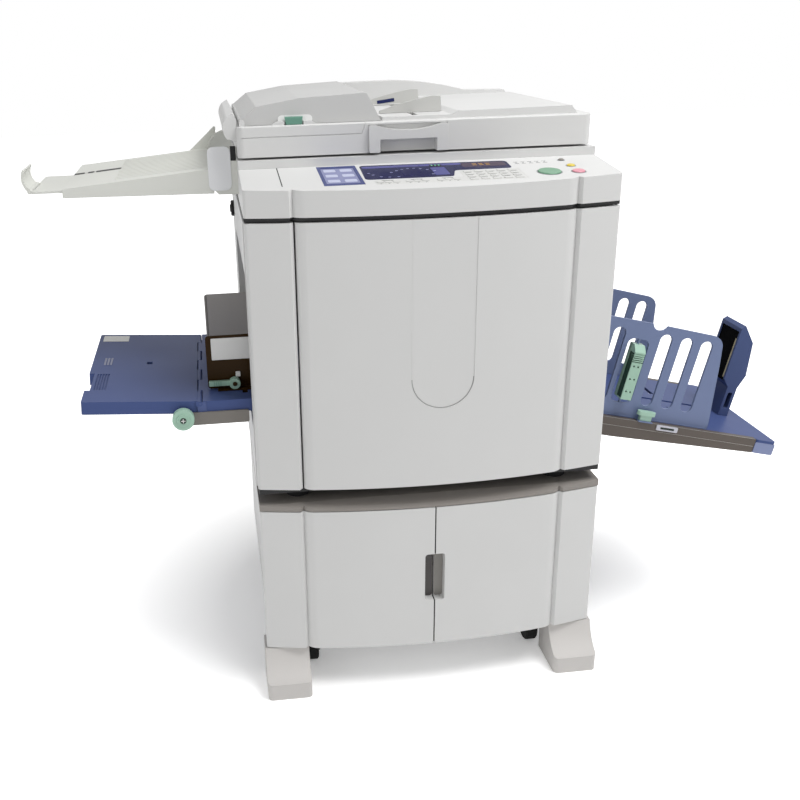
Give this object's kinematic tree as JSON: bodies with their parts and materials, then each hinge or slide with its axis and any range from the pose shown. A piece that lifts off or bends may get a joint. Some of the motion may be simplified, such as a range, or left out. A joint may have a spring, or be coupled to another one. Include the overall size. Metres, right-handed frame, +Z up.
{
  "type": "digital duplicator",
  "caption": "Free-standing digital duplicator on a wheeled cabinet: scanner lid with document feeder, folding feed tray and slotted receiving tray",
  "frame": {"origin": "on the floor, under the middle of the machine with its two trays", "axes": "+Z up, -Y is the operator's side, +X is the side where the printed sheets come out"},
  "size_m": [1.4577, 0.658, 1.1229],
  "materials": {
    "body_plastic": "fine-grained moulded light grey plastic",
    "stand_steel": "light grey powder coat",
    "plate_brown": "dark warm grey paint",
    "dark_metal": "plain steel",
    "guide_metal": "grey-brown painted sheet steel",
    "tray_blue": "moulded slate-blue plastic",
    "fence_blue": "moulded pale slate-blue plastic",
    "rail_brown": "dark grey-brown paint",
    "grip_green": "moulded sage-green plastic",
    "cream_plastic": "moulded warm light grey plastic",
    "black_plastic": "black",
    "display_dark": "dark blue glossy window",
    "key_rubber": "grey silicone keys",
    "start_green": "green",
    "stop_pink": "pink-red",
    "reset_yellow": "yellow",
    "roller_rubber": "dark rubber",
    "glass": "clear plate glass",
    "steel": "bright steel"
  },
  "bodies": {
    "machine": {"stand_cabinet": "stand_steel", "stand_top_plate": "plate_brown", "stand_foot_left": "body_plastic", "stand_foot_right": "body_plastic", "hinge_pins": "steel", "machine_feet": "roller_rubber", "chassis": "dark_metal", "left_cover": "body_plastic", "right_cover": "body_plastic", "rear_cover": "body_plastic", "front_left_panel": "body_plastic", "drive_motor": "dark_metal", "control_panel": "body_plastic", "display_window": "display_dark", "touch_panel": "tray_blue", "key_mat": "key_rubber", "scanner_housing": "body_plastic", "platen_glass": "glass", "lid_hinges": "dark_metal", "original_tray": "cream_plastic", "receiving_frame": "rail_brown", "receiving_deck": "tray_blue"},
    "front_door": {"front_cover": "body_plastic"},
    "left_door": {"stand_door_left": "stand_steel"},
    "right_door": {"stand_door_right": "stand_steel"},
    "left_fork": {"caster_fork_left": "dark_metal"},
    "right_fork": {"caster_fork_right": "dark_metal"},
    "left_wheel": {"caster_wheel_left": "black_plastic"},
    "right_wheel": {"caster_wheel_right": "black_plastic"},
    "rear_axle": {"rear_wheels": "black_plastic"},
    "drum": {"print_drum": "dark_metal"},
    "press": {"press_roller": "roller_rubber"},
    "pickup": {"feed_roller": "roller_rubber"},
    "master": {"master_roll": "cream_plastic"},
    "carriage": {"scan_carriage": "black_plastic"},
    "lid": {"scanner_lid": "body_plastic", "lid_handle": "body_plastic"},
    "hood": {"feeder_hood": "body_plastic"},
    "release": {"hood_release": "grip_green"},
    "original_guide_front": {"document_guide_front": "tray_blue"},
    "original_guide_rear": {"document_guide_rear": "tray_blue"},
    "extension": {"tray_extension": "cream_plastic"},
    "stopper": {"tray_stopper": "cream_plastic"},
    "start": {"start_key": "start_green"},
    "stop": {"stop_key": "stop_pink"},
    "reset": {"reset_key": "reset_yellow"},
    "wake": {"wake_key": "key_rubber"},
    "elevator": {"feed_deck": "tray_blue", "dial_arm": "guide_metal"},
    "leaf": {"feed_leaf": "tray_blue"},
    "paper_guide_front": {"feed_guide_front": "guide_metal"},
    "paper_guide_rear": {"feed_guide_rear": "guide_metal"},
    "lock": {"guide_lock": "grip_green"},
    "dial": {"position_dial": "grip_green"},
    "fence_front": {"receiving_fence_front": "fence_blue"},
    "fence_rear": {"receiving_fence_rear": "fence_blue"},
    "paper_stop": {"end_stop": "tray_blue", "stop_pad": "black_plastic"},
    "arranger": {"paper_arranger": "grip_green"},
    "grip": {"fence_grip": "grip_green"}
  },
  "joints": [
    {"name": "front_cover_hinge", "type": "hinge", "parent": "machine", "child": "front_door", "pos_m": [0.318, -0.275, 0.683], "axis": [0, 0, 1], "range_deg": [0, 110]},
    {"name": "left_door_hinge", "type": "hinge", "parent": "machine", "child": "left_door", "pos_m": [-0.319, -0.275, 0.24], "axis": [0, 0, -1], "range_deg": [0, 100]},
    {"name": "right_door_hinge", "type": "hinge", "parent": "machine", "child": "right_door", "pos_m": [0.319, -0.275, 0.24], "axis": [0, 0, 1], "range_deg": [0, 100]},
    {"name": "left_caster_swivel", "type": "hinge", "parent": "machine", "child": "left_fork", "pos_m": [-0.232, -0.188, 0.07], "axis": [0, 0, 1], "continuous": true},
    {"name": "right_caster_swivel", "type": "hinge", "parent": "machine", "child": "right_fork", "pos_m": [0.232, -0.188, 0.07], "axis": [0, 0, 1], "continuous": true},
    {"name": "left_caster_roll", "type": "hinge", "parent": "left_fork", "child": "left_wheel", "pos_m": [-0.232, -0.204, 0.0306], "axis": [1, 0, 0], "continuous": true},
    {"name": "right_caster_roll", "type": "hinge", "parent": "right_fork", "child": "right_wheel", "pos_m": [0.232, -0.204, 0.0306], "axis": [1, 0, 0], "continuous": true},
    {"name": "rear_wheel_roll", "type": "hinge", "parent": "machine", "child": "rear_axle", "pos_m": [0, 0.25, 0.03], "axis": [1, 0, 0], "continuous": true},
    {"name": "drum_turn", "type": "hinge", "parent": "machine", "child": "drum", "pos_m": [0.07, -0.034, 0.8085], "axis": [0, 1, 0], "continuous": true},
    {"name": "press_roller_turn", "type": "hinge", "parent": "machine", "child": "press", "pos_m": [0.07, -0.034, 0.6895], "axis": [0, 1, 0], "continuous": true},
    {"name": "feed_roller_turn", "type": "hinge", "parent": "machine", "child": "pickup", "pos_m": [-0.24, -0.034, 0.745], "axis": [0, 1, 0], "continuous": true},
    {"name": "master_roll_turn", "type": "hinge", "parent": "machine", "child": "master", "pos_m": [-0.12, -0.034, 0.868], "axis": [0, 1, 0], "continuous": true},
    {"name": "carriage_run", "type": "slide", "parent": "machine", "child": "carriage", "axis": [1, 0, 0], "range_m": [0, 0.382]},
    {"name": "lid_hinge", "type": "hinge", "parent": "machine", "child": "lid", "pos_m": [0, 0.314, 1.025], "axis": [-1, 0, 0], "range_deg": [0, 65]},
    {"name": "hood_hinge", "type": "hinge", "parent": "lid", "child": "hood", "pos_m": [-0.317, 0.068, 1.08], "axis": [0, -1, 0], "range_deg": [0, 60]},
    {"name": "hood_release_pull", "type": "slide", "parent": "lid", "child": "release", "axis": [0, 0, 1], "range_m": [0, 0.004], "stiffness_N_per_m": 300, "springref_m": -0.003},
    {"name": "original_guide_slide", "type": "slide", "parent": "lid", "child": "original_guide_front", "axis": [0, 1, 0], "range_m": [-0.035, 0.05]},
    {"name": "original_guide_follow", "type": "slide", "parent": "lid", "child": "original_guide_rear", "axis": [0, 1, 0], "range_m": [-0.05, 0.035]},
    {"name": "extension_slide", "type": "slide", "parent": "machine", "child": "extension", "axis": [1, 0, 0], "range_m": [0, 0.05]},
    {"name": "stopper_hinge", "type": "hinge", "parent": "extension", "child": "stopper", "pos_m": [-0.71, -0.008, 0.9656], "axis": [0, -1, 0], "range_deg": [0, 70]},
    {"name": "start_key_press", "type": "slide", "parent": "machine", "child": "start", "axis": [0, 0.1126, -0.9936], "range_m": [0, 0.0015], "stiffness_N_per_m": 500, "springref_m": -0.001},
    {"name": "stop_key_press", "type": "slide", "parent": "machine", "child": "stop", "axis": [0, 0.1126, -0.9936], "range_m": [0, 0.0015], "stiffness_N_per_m": 500, "springref_m": -0.001},
    {"name": "reset_key_press", "type": "slide", "parent": "machine", "child": "reset", "axis": [0, 0.1126, -0.9936], "range_m": [0, 0.0015], "stiffness_N_per_m": 500, "springref_m": -0.001},
    {"name": "wake_key_press", "type": "slide", "parent": "machine", "child": "wake", "axis": [0, 0.1126, -0.9936], "range_m": [0, 0.0015], "stiffness_N_per_m": 500, "springref_m": -0.001},
    {"name": "elevator_lift", "type": "slide", "parent": "machine", "child": "elevator", "axis": [0, 0, 1], "range_m": [0, 0.11]},
    {"name": "feed_leaf_fold", "type": "hinge", "parent": "elevator", "child": "leaf", "pos_m": [-0.424, -0.041, 0.6006], "axis": [0, 1, 0], "range_deg": [0, 86.5]},
    {"name": "paper_guide_slide", "type": "slide", "parent": "elevator", "child": "paper_guide_front", "axis": [0, 1, 0], "range_m": [-0.006, 0.095]},
    {"name": "paper_guide_follow", "type": "slide", "parent": "elevator", "child": "paper_guide_rear", "axis": [0, 1, 0], "range_m": [-0.095, 0.006]},
    {"name": "guide_lock_turn", "type": "hinge", "parent": "paper_guide_front", "child": "lock", "pos_m": [-0.358, -0.195, 0.618], "axis": [0, 1, 0], "range_deg": [0, 60]},
    {"name": "position_dial_turn", "type": "hinge", "parent": "elevator", "child": "dial", "pos_m": [-0.456, -0.262, 0.577], "axis": [0, 1, 0], "range_deg": [-180, 180]},
    {"name": "fence_slide", "type": "slide", "parent": "machine", "child": "fence_front", "axis": [0, 1, 0], "range_m": [0, 0.098]},
    {"name": "fence_follow", "type": "slide", "parent": "machine", "child": "fence_rear", "axis": [0, 1, 0], "range_m": [-0.098, 0]},
    {"name": "end_stop_slide", "type": "slide", "parent": "machine", "child": "paper_stop", "axis": [-0.9744, 0, 0.225], "range_m": [0, 0.2]},
    {"name": "arranger_turn", "type": "hinge", "parent": "fence_front", "child": "arranger", "pos_m": [0.41491, -0.1855, 0.58599], "axis": [0.225, 0, 0.9744], "range_deg": [-5, 25]},
    {"name": "grip_pinch", "type": "slide", "parent": "fence_front", "child": "grip", "axis": [0, 1, 0], "range_m": [0, 0.003], "stiffness_N_per_m": 300, "springref_m": -0.002}
  ],
  "couplings": [
    {"joint": "press_roller_turn", "follows": "drum_turn", "ratio": -3.2143},
    {"joint": "original_guide_follow", "follows": "original_guide_slide", "ratio": -1},
    {"joint": "paper_guide_follow", "follows": "paper_guide_slide", "ratio": -1},
    {"joint": "fence_follow", "follows": "fence_slide", "ratio": -1}
  ]
}
